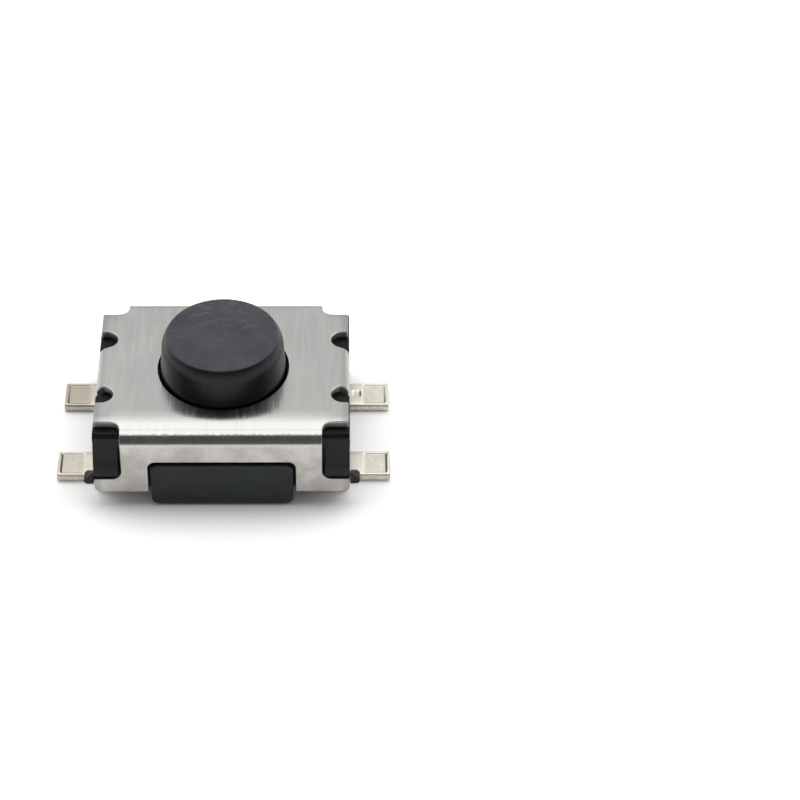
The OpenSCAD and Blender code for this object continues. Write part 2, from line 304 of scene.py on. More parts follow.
def finished_piece(made, name):
    """The working object's final shape, shaded smooth, as a plain mesh in metres."""
    made.data.shade_smooth()
    modifier(made, "WEIGHTED_NORMAL", weight=flat_face_weight)
    mesh = evaluated_mesh(made)
    mesh.transform(Matrix.Scale(MM, 4))
    mesh.name = name
    bpy.data.objects.remove(made)
    triangles = sum(len(face.vertices) - 2 for face in mesh.polygons)
    print(name, "has", triangles, "triangles")
    return linked_object(name, mesh)


# %% [markdown]
# ## The cover: a blank that is cut first and folded afterwards
# A press tool punches the cover flat, with its hole, its relief notches and its corner cut-outs,
# and then folds the two side flaps and the two end tabs down. The script does the same. The blank
# is drawn in the flat, in the coordinates u and v of its outer face, its sheared edges get their
# small roll on the punched side, and one function then folds every point. Because the brushing was
# rolled into the strip before it was cut, the flat coordinates are kept on the mesh, and the finish
# follows them round the folds.

# %% The cover's sizes
cover_low, cover_high = (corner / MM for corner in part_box("cover"))
cover_half_l = cover_high.x
cover_half_w = cover_high.y
cover_top = cover_high.z
flap_bottom = cover_low.z
sheet = 0.13
bend_r = 0.18
ear_x = cover_half_l - 0.02
corner_x = cover_half_l - 0.43
corner_y = cover_half_w - 0.325
corner_r = 0.14
foot_top = flap_bottom + 0.28
foot_r = 0.1
window_x = 1.15
window_top = 0.87
window_r = 0.12
notch_x = ear_x - 0.27
notch_y = 0.66
notch_r = 0.19
tab_bottom = 0.9
tab_r = 0.12
hole_r = 1.03
snip_r = 0.02

fold_x = cover_half_l - bend_r
fold_y = cover_half_w - bend_r
fold_length = bend_r * math.pi / 2


def flat_at_height(fold, z):
    """Where a height on a folded flap lies in the flat, past its fold line."""
    return fold + fold_length + cover_top - bend_r - z


# %% Draw the blank
blank_quarter = [
    (window_x, flat_at_height(fold_y, window_top), window_r),
    (window_x, flat_at_height(fold_y, flap_bottom), snip_r),
    (cover_half_l, flat_at_height(fold_y, flap_bottom), foot_r),
    (cover_half_l, flat_at_height(fold_y, foot_top), snip_r),
    (corner_x, flat_at_height(fold_y, foot_top), corner_r),
    (corner_x, corner_y, corner_r),
    (ear_x, corner_y, snip_r),
    (ear_x, notch_y + notch_r, snip_r),
    (notch_x, notch_y + notch_r, notch_r),
    (notch_x, notch_y - notch_r, notch_r),
    (flat_at_height(fold_x, tab_bottom), notch_y - notch_r, tab_r),
]


def mirrored(corners, across_u, across_v):
    return [(across_u * u, across_v * v, radius) for u, v, radius in corners]


blank_corners = (
    blank_quarter
    + mirrored(blank_quarter[::-1], 1, -1)
    + mirrored(blank_quarter, -1, -1)
    + mirrored(blank_quarter[::-1], -1, 1)
)
blank_outline = rounded(blank_corners)
if signed_area(blank_outline) < 0:
    blank_outline.reverse()
hole_outline = [Vector((point.x, -point.y)) for point in circle_points(hole_r, 128)]
print("The blank is", round(signed_area(blank_outline), 2), "square mm")
print("The hole is", round(-signed_area(hole_outline), 2), "square mm")


# %% Give the blank its thickness and its sheared edges
def sheared_edge(thickness, roll, burr, steps=4):
    """How far in and how deep an edge's rings lie, from the punched face to the other."""
    rings = []
    for k in range(steps + 1):
        angle = math.pi / 2 * k / steps
        rings.append((roll * (1 - math.sin(angle)), roll * (1 - math.cos(angle))))
    return rings + [(0, thickness - burr), (burr, thickness)]


def plate_from_outlines(outlines, thickness, roll, burr):
    """A flat plate with z from -thickness to 0, closed, its edges rounded like sheared ones."""
    bm = bmesh.new()
    upper_edges = []
    lower_edges = []
    for outline in outlines:
        rings = [
            [bm.verts.new((*point, -depth)) for point in inset(outline, distance)]
            for distance, depth in sheared_edge(thickness, roll, burr)
        ]
        count = len(outline)
        for ring, below in zip(rings, rings[1:]):
            for i in range(count):
                j = (i + 1) % count
                bm.faces.new((ring[i], below[i], below[j], ring[j]))
        for edges, ring in ((upper_edges, rings[0]), (lower_edges, rings[-1])):
            edges.extend(bm.edges.get((ring[i], ring[i - 1])) for i in range(count))
    bmesh.ops.triangle_fill(bm, edges=upper_edges, use_beauty=True)
    bmesh.ops.triangle_fill(bm, edges=lower_edges, use_beauty=True)
    bmesh.ops.recalc_face_normals(bm, faces=bm.faces)
    return bm


blank_roll = 0.018
blank_burr = 0.006
cover_bm = plate_from_outlines([blank_outline, hole_outline], sheet, blank_roll, blank_burr)
print("The flat blank has", len(cover_bm.faces), "faces")

# %% [markdown]
# A flat plate of a few large triangles can't bend, so it is scored first, as card is before it is
# folded: cut lines cross it at even steps, and closer together where it will bend. The long folds
# take a little more length than a plain arc, and the top dips on its way to the front one.

# %% Score the blank
fold_steps = 20
grid_step = 0.12
dip_start = 0.98
dip_steps = 16
long_fold_extra = 0.03
long_fold_span = fold_length + long_fold_extra


def score(bm, places, axis):
    """Cuts the mesh along lines across u (axis 0) or v (axis 1), without opening it."""
    normal = Vector((0, 0, 0))
    normal[axis] = 1
    for place in places:
        geometry = bm.verts[:] + bm.edges[:] + bm.faces[:]
        bmesh.ops.bisect_plane(
            bm, geom=geometry, dist=1e-5, plane_co=normal * place, plane_no=normal
        )


def score_lines(line, span, reach):
    """Lines at even steps over the flat, and closer ones through each fold."""
    folded = [line + span * k / fold_steps for k in range(fold_steps + 1)]
    before = [grid_step * k for k in range(1, int(line / grid_step) + 1)]
    rows_after = int((reach - folded[-1]) / grid_step)
    after = [folded[-1] + grid_step * k for k in range(1, rows_after + 1)]
    lines = folded + before + after
    return [0] + lines + [-line for line in lines]


tab_reach = blank_quarter[-1][0]
flap_reach = blank_quarter[1][1]
dip_length = fold_y - dip_start
score(cover_bm, score_lines(fold_x, fold_length, tab_reach), 0)
score(cover_bm, score_lines(fold_y, long_fold_span, flap_reach), 1)
score(cover_bm, [-dip_start - dip_length * k / dip_steps for k in range(dip_steps)], 1)
print("The scored blank has", len(cover_bm.faces), "faces")

# %% [markdown]
# The two end tabs and the rear flap bend round a plain arc. The front fold is pressed harder: the
# top dips towards it, turns over quickly, runs down a nearly flat slope and turns again into the
# flap. In the photograph that slope is the dark band between the bright top and the flap. So a long
# fold is described by the angles that the sheet passes through, and adding up short steps in those
# directions gives its line.

# %% The lines of the long folds
front, rear = -1, 1
dips = {front: 0.070, rear: 0}
turns = {
    front: [(0, 17), (0.30, 18), (0.38, 36), (0.92, 56), (1, 90)],
    rear: [(0, 0), (1, 90)],
}


def pressed_line(bends, start, end, steps=400):
    """A fold's line from start to end: bends are (share of the length, angle in degrees)."""
    place = Vector((0, 0))
    line = [place.copy()]
    for k in range(steps):
        share = (k + 0.5) / steps
        for (low, first), (high, last) in zip(bends, bends[1:]):
            if low <= share <= high:
                angle = math.radians(first + (last - first) * (share - low) / (high - low))
        place += Vector((math.cos(angle), -math.sin(angle))) / steps
        line.append(place.copy())
    across, down = (end.x - start.x) / place.x, (end.y - start.y) / place.y
    return [Vector((start.x + point.x * across, start.y + point.y * down)) for point in line]


fold_end = Vector((cover_half_w, -bend_r - long_fold_extra))
long_fold = {
    side: pressed_line(turns[side], Vector((fold_y, -dip)), fold_end) for side, dip in dips.items()
}
print("The front fold's line runs to", [round(part, 3) for part in long_fold[front][-1]])

# %% Fold it
lip_roll = 0.012
lip_width = 0.135
dip_side = corner_x + 0.01
lip_side = corner_x + 0.25


def smooth_step(value, low, high):
    t = min(max((value - low) / (high - low), 0), 1)
    return t * t * (3 - 2 * t)


def side_of(v):
    """Which long fold a point of the blank lies towards."""
    return int(math.copysign(1, v))


def arc_fold(distance, depth, line, half):
    """Folds a distance from the middle down past a line: gives the new distance and the drop."""
    past = distance - line
    if past <= 0:
        return distance, depth
    if past >= fold_length:
        return half - depth, bend_r + past - fold_length
    angle = past / bend_r
    radius = bend_r - depth
    return line + radius * math.sin(angle), bend_r - radius * math.cos(angle)


def dip_at(u, v):
    """How far the top has dipped towards a long fold, or rolled down at a corner's free edge."""
    away = smooth_step(abs(u), dip_side, lip_side)
    towards_fold = min(max(abs(v) - dip_start, 0) / dip_length, 1)
    towards_lip = min(max(abs(v) - corner_y + lip_width, 0) / lip_width, 1)
    return dips[side_of(v)] * towards_fold**3 * (1 - away) + lip_roll * towards_lip**2 * away


def folded_place(flat):
    """Where a point of the flat blank lies on the folded cover."""
    u, v, depth = flat.x, flat.y, -flat.z
    if abs(u) > fold_x and abs(v) < notch_y:
        x, drop = arc_fold(abs(u), depth, fold_x, cover_half_l)
        return Vector((math.copysign(x, u), v, cover_top - drop))
    y, drop = arc_fold(abs(v), depth, fold_y, cover_half_w)
    outside = 1 - depth / sheet
    past = abs(v) - fold_y
    if past <= 0:
        drop += dip_at(u, v) * outside
    elif past < long_fold_span:
        line = long_fold[side_of(v)]
        share = past / long_fold_span * (len(line) - 1)
        k = min(int(share), len(line) - 2)
        pressed = line[k].lerp(line[k + 1], share - k)
        plain_y, plain_drop = arc_fold(abs(v), 0, fold_y, cover_half_w)
        y += (pressed.x - plain_y) * outside
        drop += (-pressed.y - plain_drop) * outside
    return Vector((u, math.copysign(y, v), cover_top - drop))


flat_places = [vertex.co.copy() for vertex in cover_bm.verts]
for vertex in cover_bm.verts:
    vertex.co = folded_place(vertex.co)
bmesh.ops.recalc_face_normals(cover_bm, faces=cover_bm.faces)
cover_work = working_object("cover_work", cover_bm)
blank_attribute = cover_work.data.attributes.new("blank", "FLOAT_VECTOR", "POINT")
blank_attribute.data.foreach_set("vector", [part for place in flat_places for part in place])
steel_cover = finished_piece(cover_work, "steel_cover")

# %% [markdown]
# ## The moulding
# The black base is a single moulding with many small features, and the CAD model already has all
# of them. What it lacks is the tiny radius that every edge of a mould leaves. So the node's mesh is
# copied, its loose triangles are merged and joined into whole faces, and a Bevel modifier rounds
# each edge that is sharper than a set angle. The node itself is left alone.

# %% Round the edges of a copied node
weld_distance = 5e-3
flat_within = math.radians(1)
mould_radius = 0.014
sharper_than = math.radians(28)


def merged_copy(node):
    """A node's mesh in millimetres, merged, with flat faces joined."""
    bm = bmesh.new()
    bm.from_mesh(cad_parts[node].data)
    for layer in list(bm.loops.layers.float_vector.values()):
        bm.loops.layers.float_vector.remove(layer)
    bmesh.ops.scale(bm, vec=(1 / MM, 1 / MM, 1 / MM), verts=bm.verts)
    bmesh.ops.remove_doubles(bm, verts=bm.verts, dist=weld_distance)
    bmesh.ops.dissolve_limit(bm, angle_limit=flat_within, verts=bm.verts, edges=bm.edges)
    return bm


def plain_mesh(bm):
    """The bmesh's points and faces in a new bmesh, without the normals stored by the import."""
    bm.verts.index_update()
    mesh = bpy.data.meshes.new("plain")
    faces = [[v.index for v in face.verts] for face in bm.faces]
    mesh.from_pydata([v.co for v in bm.verts], [], faces)
    bm.free()
    clean = bmesh.new()
    clean.from_mesh(mesh)
    bpy.data.meshes.remove(mesh)
    return clean


base_work = working_object("base_work", plain_mesh(merged_copy("base")))
modifier(
    base_work, "BEVEL", width=mould_radius, segments=3, limit_method="ANGLE",
    angle_limit=sharper_than, use_clamp_overlap=False, miter_outer="MITER_ARC",
)
moulded_base = finished_piece(base_work, "moulded_base")

# %% [markdown]
# ## The button
# The button is turned round, so it is a lathe job: half a section, spun about the vertical axis.
# The section runs from the small boss that presses the dome, past the collar that stops the button
# from coming out through the cover, up the slightly tapered stem, over a wide soft shoulder and in
# to the crisp edge of the flat face.

# %% Turn the button
button_low, button_high = (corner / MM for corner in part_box("plunger"))
collar_r = button_high.x
boss_r = 0.4
collar_low = 1.11
collar_high = 1.31
stem_r = 0.995
stem_top_r = 0.955
shoulder_z = button_high.z - 0.12
face_r = 0.878
edge_r = 0.03
stem_foot_r = 0.02
stem_bow_r = 0.5
shoulder_r = 0.45
face_edge_r = 0.025

button_section = [
    (0, button_low.z, 0),
    (boss_r, button_low.z, edge_r),
    (boss_r, collar_low, edge_r),
    (collar_r, collar_low, edge_r),
    (collar_r, collar_high, edge_r),
    (stem_r, collar_high, stem_foot_r),
    (stem_r, cover_top, stem_bow_r),
    (stem_top_r, shoulder_z, shoulder_r),
    (face_r, button_high.z, face_edge_r),
    (0, button_high.z, 0),
]


def turned_solid(section, steps=160):
    """A closed solid from half a section, whose first and last points lie on the axis."""
    bm = bmesh.new()
    first = bm.verts.new((0, 0, section[0].y))
    last = bm.verts.new((0, 0, section[-1].y))
    rings = [
        [
            bm.verts.new((point.x * math.cos(angle), point.x * math.sin(angle), point.y))
            for angle in (2 * math.pi * k / steps for k in range(steps))
        ]
        for point in section[1:-1]
    ]
    for i in range(steps):
        j = (i + 1) % steps
        bm.faces.new((first, rings[0][j], rings[0][i]))
        bm.faces.new((last, rings[-1][i], rings[-1][j]))
        for ring, above in zip(rings, rings[1:]):
            bm.faces.new((ring[i], ring[j], above[j], above[i]))
    bmesh.ops.recalc_face_normals(bm, faces=bm.faces)
    return bm


button_line = rounded(button_section, closed=False)
push_button = finished_piece(
    working_object("button_work", turned_solid(button_line)), "push_button"
)

# %% [markdown]
# ## The contacts: strips that follow a bent path
# Each contact is a strip of plated sheet: flat on the board at both ends, up a step just inside
# the moulding, and level inside. That is a path with four bends, so Geometry Nodes make it: the
# path's corners are filleted to the bend radius, a rounded rectangle is swept along it, and the
# upper face near each tip is pressed in by a formula, as the coining punch does. The same formula
# wears the long edges down a little. The tree's sizes are named inputs, so both contacts use the
# same tree.

# %% Build the strip's tree
path_step = 0.0125
outline_step = 0.012
bend_points = 8
edge_points = 3


def strip_tree():
    """A tree that sweeps a strip of metal along a mesh line and coins a hollow near both tips."""
    tree = bpy.data.node_groups.new("strip along a path", "GeometryNodeTree")
    lengths = (
        "Width", "Thickness", "Bend radius", "Edge radius", "Edge wear", "Hollow place",
        "Hollow half length", "Hollow rim", "Hollow depth", "Mark place", "Mark half", "Mark depth",
    )
    kinds = {"Path": "Geometry", **dict.fromkeys(lengths, "Float"),
             "Plated": "Material", "Cut": "Material"}
    for name, kind in kinds.items():
        tree.interface.new_socket(name, in_out="INPUT", socket_type="NodeSocket" + kind)
    tree.interface.new_socket("Strip", in_out="OUTPUT", socket_type="NodeSocketGeometry")
    recipe = Recipe(tree)
    given = recipe.add("NodeGroupInput")
    items = tree.interface.items_tree
    identifiers = {item.name: item.identifier for item in items if item.in_out == "INPUT"}
    size = {name: given.output(identifier) for name, identifier in identifiers.items()}

    path = recipe.add("GeometryNodeMeshToCurve", None, {"Mesh": size["Path"]})
    bent = recipe.add("GeometryNodeFilletCurve", {"mode": "POLY"},
                      {"Curve": path, "Radius": size["Bend radius"], "Count": bend_points})
    along = recipe.add("GeometryNodeResampleCurve", {"mode": "LENGTH"},
                       {"Curve": bent, "Length": path_step})
    oblong = recipe.add("GeometryNodeCurvePrimitiveQuadrilateral", {"mode": "RECTANGLE"},
                        {"Width": size["Width"], "Height": size["Thickness"]})
    soft = recipe.add("GeometryNodeFilletCurve", {"mode": "POLY"},
                      {"Curve": oblong, "Radius": size["Edge radius"], "Count": edge_points})
    around = recipe.add("GeometryNodeResampleCurve", {"mode": "LENGTH"},
                        {"Curve": soft, "Length": outline_step})
    strip = recipe.add("GeometryNodeCurveToMesh", None,
                       {"Curve": along, "Profile Curve": around, "Fill Caps": True})

    x, y, _ = recipe.split(recipe.add("GeometryNodeInputPosition"))
    normal_x, _, normal_z = recipe.split(recipe.add("GeometryNodeInputNormal"))
    from_hollow = abs(abs(x) - size["Hollow place"]) / size["Hollow half length"]
    from_middle = abs(y) / (size["Width"] * 0.5 - size["Hollow rim"])
    hollow = recipe.smooth(1 - from_hollow, 0.0, 0.22) * recipe.smooth(1 - from_middle, 0.0, 0.17)
    from_mark = recipe.math("MAXIMUM", abs(x - size["Mark place"]), abs(y)) / size["Mark half"]
    mark = recipe.smooth(1 - from_mark, 0.0, 0.3)
    worn = (abs(y) / (size["Width"] * 0.5)) ** 6 * size["Edge wear"]
    coining = hollow * size["Hollow depth"] + mark * size["Mark depth"]
    pressed = worn * (normal_z > 0.05) + coining * (normal_z > 0.9)
    drop = recipe.add("ShaderNodeCombineXYZ", None, {"Z": pressed * -1})
    coined = recipe.add("GeometryNodeSetPosition", None, {"Geometry": strip, "Offset": drop})

    real = recipe.add("GeometryNodeRealizeInstances", None, {"Geometry": coined})
    plated = recipe.add("GeometryNodeSetMaterial", None,
                        {"Geometry": real, "Material": size["Plated"]})
    tips = {"Geometry": plated, "Selection": abs(normal_x) > 0.9, "Material": size["Cut"]}
    finished = recipe.add("GeometryNodeSetMaterial", None, tips)
    recipe.add("NodeGroupOutput", None, {items["Strip"].identifier: finished})
    return tree, identifiers


strip_nodes, strip_inputs = strip_tree()
print("The strip's tree has", len(strip_nodes.nodes), "nodes and", len(strip_inputs), "inputs")

# %% [markdown]
# ## Metals and plastics
# All finishes are procedural. The pattern's coordinates are turned into millimetres first, so that
# every scale reads as features per millimetre. The brushed steel reads the blank's flat
# coordinates, which makes its lines run down the flaps just as they run across the top. The other
# finishes read Object coordinates.

# %% Start a material
def new_finish(name):
    """A material, its recipe and its coordinates in millimetres."""
    material = bpy.data.materials.new(name)
    material.use_nodes = True
    recipe = Recipe(material.node_tree)
    metres = recipe.add("ShaderNodeTexCoord", None, None, "Object")
    return material, recipe, recipe.scaled(metres, (1 / MM, 1 / MM, 1 / MM))


def finish_surface(recipe, inputs, height, height_mm):
    """Ends a material: a bump from a height, the main shader and the output."""
    relief = {"Height": height, "Distance": height_mm * MM, "Strength": 1.0}
    bump = recipe.add("ShaderNodeBump", None, relief)
    shader = recipe.add("ShaderNodeBsdfPrincipled", None, {**inputs, "Normal": bump})
    recipe.add("ShaderNodeOutputMaterial", None, {"Surface": shader})


# %% [markdown]
# The cover's steel has long brushed lines over soft patches. Its flaps are rougher and carry a
# darker, warm, mottled tint, which is a painted reflection of the floor; the folds are rougher and
# carry a dark grey tint, which is painted shade for the dark band along each fold; and the sheared
# edges are dull all round, which the depth in the blank tells.

# %% Brushed steel for the cover
def brushed_steel():
    material, recipe, place = new_finish("brushed_steel")
    dark_line, light_line = (0.54, 0.535, 0.52), (0.60, 0.595, 0.58)
    flap_reflection_tint, fold_shade_tint = (0.36, 0.335, 0.305), (0.17, 0.16, 0.147)
    sheared_tint = (0.20, 0.19, 0.175)
    flat = recipe.add("ShaderNodeAttribute", {"attribute_name": "blank"}, None, "Vector")
    u, v, blank_z = recipe.split(flat)
    across, along, depth = abs(u), abs(v), blank_z * -1

    fine_lines = recipe.noise(recipe.scaled(flat, (45, 0.8, 0)), 1, 1, 0.5)
    bands = recipe.noise(recipe.scaled(flat, (11, 1.3, 0)), 1, 1, 0.5)
    patches = recipe.noise(recipe.scaled(flat, (1.3, 1.1, 0)), 1, 3, 0.5)
    mottle = recipe.noise(place, 2.8, 4, 0.55)

    wobble = (bands - 0.5) * 0.10
    past_side = recipe.smooth(along + wobble, fold_y + 0.06, fold_y + 0.10)
    past_end = recipe.smooth(across + wobble, fold_x, fold_x + 0.14)
    side_over = recipe.smooth(along, fold_y + fold_length * 0.90, fold_y + fold_length * 1.25)
    end_over = recipe.smooth(across, fold_x + fold_length * 0.8, fold_x + fold_length * 0.95)
    in_side, in_end = past_side * (1 - side_over), past_end * (1 - end_over)
    # Painted shade: a dark grey tint over each fold, full on the long folds and at 0.6 on the end
    # folds, stands for the dark band there; the same mask also raises the roughness.
    fold_shade_and_dulling = recipe.math("MAXIMUM", in_side, in_end * 0.6)
    # Painted reflection: a darker, warm, mottled tint over both flaps stands for the floor they
    # reflect; the same mask also raises the roughness.
    on_flap = recipe.smooth(along, fold_y + fold_length, fold_y + fold_length + 0.12)
    flap_reflection_and_dulling = on_flap * (0.45 + 0.55 * recipe.smooth(mottle, 0.35, 0.65))
    near_back = recipe.smooth(depth, sheet - 0.008, sheet - 0.002)
    cut_edge = recipe.smooth(depth, 0.016, 0.03) * (1 - near_back)

    tone = recipe.smooth(fine_lines * 0.45 + bands * 0.25 + patches * 0.3, 0.3, 0.7)
    bright = recipe.mix(tone, dark_line, light_line)
    warm = recipe.mix(flap_reflection_and_dulling * 0.85, bright, flap_reflection_tint)
    folded = recipe.mix(fold_shade_and_dulling * 0.62, warm, fold_shade_tint)
    color = recipe.mix(cut_edge * 0.8, folded, sheared_tint)
    streaks = recipe.smooth(fine_lines * 0.4 + bands * 0.6, 0.45, 0.65)
    dulling_and_sheen = recipe.smooth(patches, 0.4, 0.7) * 0.04 + (flap_reflection_and_dulling + fold_shade_and_dulling) * 0.12
    roughness = 0.20 + streaks * 0.07 + dulling_and_sheen + cut_edge * 0.25
    height = (fine_lines * 0.3 + bands * 0.7) * (1 - recipe.smooth(depth, 0.018, 0.03))
    inputs = {"Base Color": color, "Metallic": 1.0, "Roughness": roughness}
    finish_surface(recipe, inputs, height, 0.003)
    return material


# %% [markdown]
# The contacts are plated before they are stamped. So the plating is pale and bright on the top, the
# sheared sides are duller, and the tips, which are cut off the strip last, show the copper alloy.
# The leads of one end carry some tarnish.

# %% Plated strip and its cut tips
def plated_strip():
    material, recipe, place = new_finish("plated_strip")
    pale, bright = (0.90, 0.85, 0.73), (0.97, 0.94, 0.86)
    tarnished, sheared_tint = (0.46, 0.40, 0.33), (0.46, 0.43, 0.35)
    cloud = recipe.noise(place, 3.5, 3, 0.55)
    grain = recipe.noise(recipe.scaled(place, (16, 11, 11)), 1, 3, 0.6)
    x, y, z = recipe.split(place)
    tarnish = recipe.smooth(x * -1, 1.9, 2.4) * (0.35 + 0.65 * recipe.smooth(y, -0.5, 0.5))
    below_top = 1 - recipe.smooth(z, 0.10, 0.128)
    sheared = below_top * (0.6 + 0.4 * recipe.smooth(grain, 0.4, 0.6))
    clean = recipe.mix(recipe.smooth(cloud, 0.35, 0.65), pale, bright)
    dulled = recipe.mix(tarnish * (0.45 + 0.55 * cloud), clean, tarnished)
    color = recipe.mix(sheared * 0.75, dulled, sheared_tint)
    inputs = {"Base Color": color, "Metallic": 1.0, "Roughness": 0.30 + grain * 0.16}
    finish_surface(recipe, inputs, cloud * 0.7 + grain * 0.3, 0.002)
    return material


def cut_metal():
    material, recipe, place = new_finish("cut_metal")
    dark, light = (0.36, 0.25, 0.19), (0.55, 0.42, 0.33)
    streaks = recipe.noise(recipe.scaled(place, (20, 30, 6)), 1, 3, 0.6)
    color = recipe.mix(recipe.smooth(streaks, 0.35, 0.65), dark, light)
    inputs = {"Base Color": color, "Metallic": 1.0, "Roughness": 0.42}
    finish_surface(recipe, inputs, streaks, 0.003)
    return material


# %% [markdown]
# The moulding is a black plastic with a fine grain. A grey-green tint on the blocks in its two
# windows is a painted sheen, and a lighter tint on its underside is painted light. The button is
# charcoal and scuffed on its flat face; that face is painted greyer as lit and its side darker as
# shaded, and the side is also smoother.

# %% Black moulding and charcoal button
def moulded_black():
    material, recipe, place = new_finish("moulded_black")
    black_low, black_high = (0.006, 0.0055, 0.005), (0.010, 0.0095, 0.009)
    block_sheen_low, block_sheen_high = (0.024, 0.0255, 0.027), (0.031, 0.039, 0.038)
    underside_light_tint = (0.05, 0.051, 0.053)
    grain = recipe.noise(place, 34, 2, 0.6)
    flow = recipe.noise(recipe.scaled(place, (1.6, 1.6, 3)), 1, 3, 0.5)
    x, y, z = recipe.split(place)
    on_block = (1 - recipe.smooth(abs(x), 1.15, 1.25)) * recipe.smooth(abs(y), 1.40, 1.50)
    plain = recipe.mix(recipe.smooth(flow, 0.35, 0.65), black_low, black_high)
    # Painted sheen: the blocks in the windows are tinted grey-green.
    dulling_and_sheen = recipe.mix(recipe.smooth(flow, 0.30, 0.70), block_sheen_low, block_sheen_high)
    # Painted light: the underside, next to the floor, is tinted lighter.
    underside = 1 - recipe.smooth(z, 0.02, 0.12)
    color = recipe.mix(underside, recipe.mix(on_block, plain, dulling_and_sheen), underside_light_tint)
    roughness = 0.40 + grain * 0.12 + flow * 0.06
    inputs = {"Base Color": color, "Roughness": roughness, "Specular IOR Level": 0.25}
    finish_surface(recipe, inputs, grain * 0.6 + flow * 0.4, 0.0025)
    return material


def charcoal_button():
    material, recipe, place = new_finish("charcoal_button")
    shaded_side_low, shaded_side_high = (0.004, 0.0042, 0.0045), (0.007, 0.0073, 0.0075)
    lit_face_low, lit_face_high = (0.062, 0.067, 0.083), (0.086, 0.090, 0.104)
    scuff_tint = (0.15, 0.16, 0.165)
    grain = recipe.noise(place, 26, 3, 0.6)
    cloud = recipe.noise(place, 2.2, 4, 0.6)
    _, y, z = recipe.split(place)
    on_face = recipe.smooth(z, 2.09, 2.105)
    scratches = recipe.noise(recipe.scaled(place, (5, 9, 5)), 1, 4, 0.65)
    scuff = recipe.smooth(scratches, 0.54, 0.66) * recipe.smooth(y, -0.6, 0.4)
    # Painted light and shade: the flat face is painted greyer as lit, and the side darker as
    # shaded.
    side = recipe.mix(recipe.smooth(cloud, 0.35, 0.65), shaded_side_low, shaded_side_high)
    face = recipe.mix(recipe.smooth(cloud, 0.35, 0.65), lit_face_low, lit_face_high)
    scuffed = recipe.mix(scuff * 0.6, face, scuff_tint)
    color = recipe.mix(on_face, side, scuffed)
    roughness = 0.27 + grain * 0.08 + on_face * 0.10
    inputs = {"Base Color": color, "Roughness": roughness, "Specular IOR Level": 0.28}
    finish_surface(recipe, inputs, grain * 0.5 + cloud * 0.5, 0.003)
    return material


# %% Spring steel and film
def spring_steel():
    material, recipe, place = new_finish("spring_steel")
    lines = recipe.noise(recipe.scaled(place, (2, 40, 40)), 1, 2, 0.6)
    color = recipe.mix(lines, (0.70, 0.69, 0.66), (0.82, 0.81, 0.78))
    inputs = {"Base Color": color, "Metallic": 1.0, "Roughness": 0.16 + lines * 0.08}
    finish_surface(recipe, inputs, lines, 0.0008)
    return material


def amber_film():
    material, recipe, place = new_finish("amber_film")
    cloud = recipe.noise(place, 2.5, 2, 0.5)
    color = recipe.mix(cloud, (0.55, 0.27, 0.05), (0.66, 0.36, 0.09))
    inputs = {"Base Color": color, "Roughness": 0.12 + cloud * 0.06, "Alpha": 0.6}
    finish_surface(recipe, inputs, cloud, 0.002)
    return material


steel, plated, cut = brushed_steel(), plated_strip(), cut_metal()
black, charcoal, spring, amber = moulded_black(), charcoal_button(), spring_steel(), amber_film()
print("Finishes:", [made.name for made in (steel, plated, cut, black, charcoal, spring, amber)])

# %% [markdown]
# ## The two contacts
# Both contacts are the same strip at different heights: the outer one lies high and carries the
# ring that the dome's rim stands on, and the centre one runs below it and sends a tongue to a
# raised pad under the dome. The strips come from the tree above. The ring, the tongue and the pad
# are joined to them with a Boolean modifier, because each contact is a single stamping.

# %% Contact sizes
contact_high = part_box("outer_contact")[1] / MM
tip_x = contact_high.x
lead_t = 0.14
lead_w = 0.56
lead_y = contact_high.y - lead_w / 2
step_r = 0.06
step_angle = math.radians(45)
moulding_end = cover_half_l + 0.04
step_x = moulding_end - 0.15
floor_z = contact_high.z
outer_z = floor_z - lead_t
strip_gap = 0.06
centre_z = outer_z - strip_gap - lead_t
outer_mark = 0.012
no_mark = 0.0
print("The strips lie", round(outer_z, 3), "and", round(centre_z, 3), "mm above the board")

strip_sizes = {
    "Width": lead_w,
    "Thickness": lead_t,
    "Bend radius": step_r + lead_t / 2,
    "Edge radius": 0.016,
    "Edge wear": 0.018,
    "Hollow place": 2.41,
    "Hollow half length": 0.20,
    "Hollow rim": 0.035,
    "Hollow depth": 0.025,
    "Mark place": 2.12,
    "Mark half": 0.075,
}


# %% Lay the strips
def strip_path(height):
    """The strip's middle line, as corners from one tip to the other."""
    middle_r = step_r + lead_t / 2
    corner_reach = middle_r * math.tan(step_angle / 2)
    rise = height - 2 * middle_r * (1 - math.cos(step_angle))
    run = 2 * middle_r * math.sin(step_angle) + rise / math.tan(step_angle)
    half = [(tip_x, lead_t / 2), (step_x - corner_reach, lead_t / 2),
            (step_x - run + corner_reach, height + lead_t / 2)]
    return half + [(-x, z) for x, z in reversed(half)]


def strip(name, height, mark_depth):
    """A contact's strip, still in millimetres, lying along the middle."""
    corners = strip_path(height)
    mesh = bpy.data.meshes.new(name)
    lines = [(i, i + 1) for i in range(len(corners) - 1)]
    mesh.from_pydata([(x, 0, z) for x, z in corners], lines, [])
    made = linked_object(name, mesh)
    nodes = made.modifiers.new("strip", "NODES")
    nodes.node_group = strip_nodes
    values = {**strip_sizes, "Mark depth": mark_depth, "Plated": plated, "Cut": cut}
    for label, value in values.items():
        nodes[strip_inputs[label]] = value
    return made


def baked(made):
    """The object with its modifiers applied and taken off."""
    mesh = evaluated_mesh(made)
    made.modifiers.clear()
    made.data = mesh
    return made


outer_strip = baked(strip("outer_strip", outer_z, outer_mark))
outer_strip.data.transform(Matrix.Translation((0, lead_y, 0)))
centre_strip = baked(strip("centre_strip", centre_z, no_mark))
centre_strip.data.transform(Matrix.Translation((0, -lead_y, 0)))
print("Strips:", [len(made.data.polygons) for made in (outer_strip, centre_strip)], "faces")

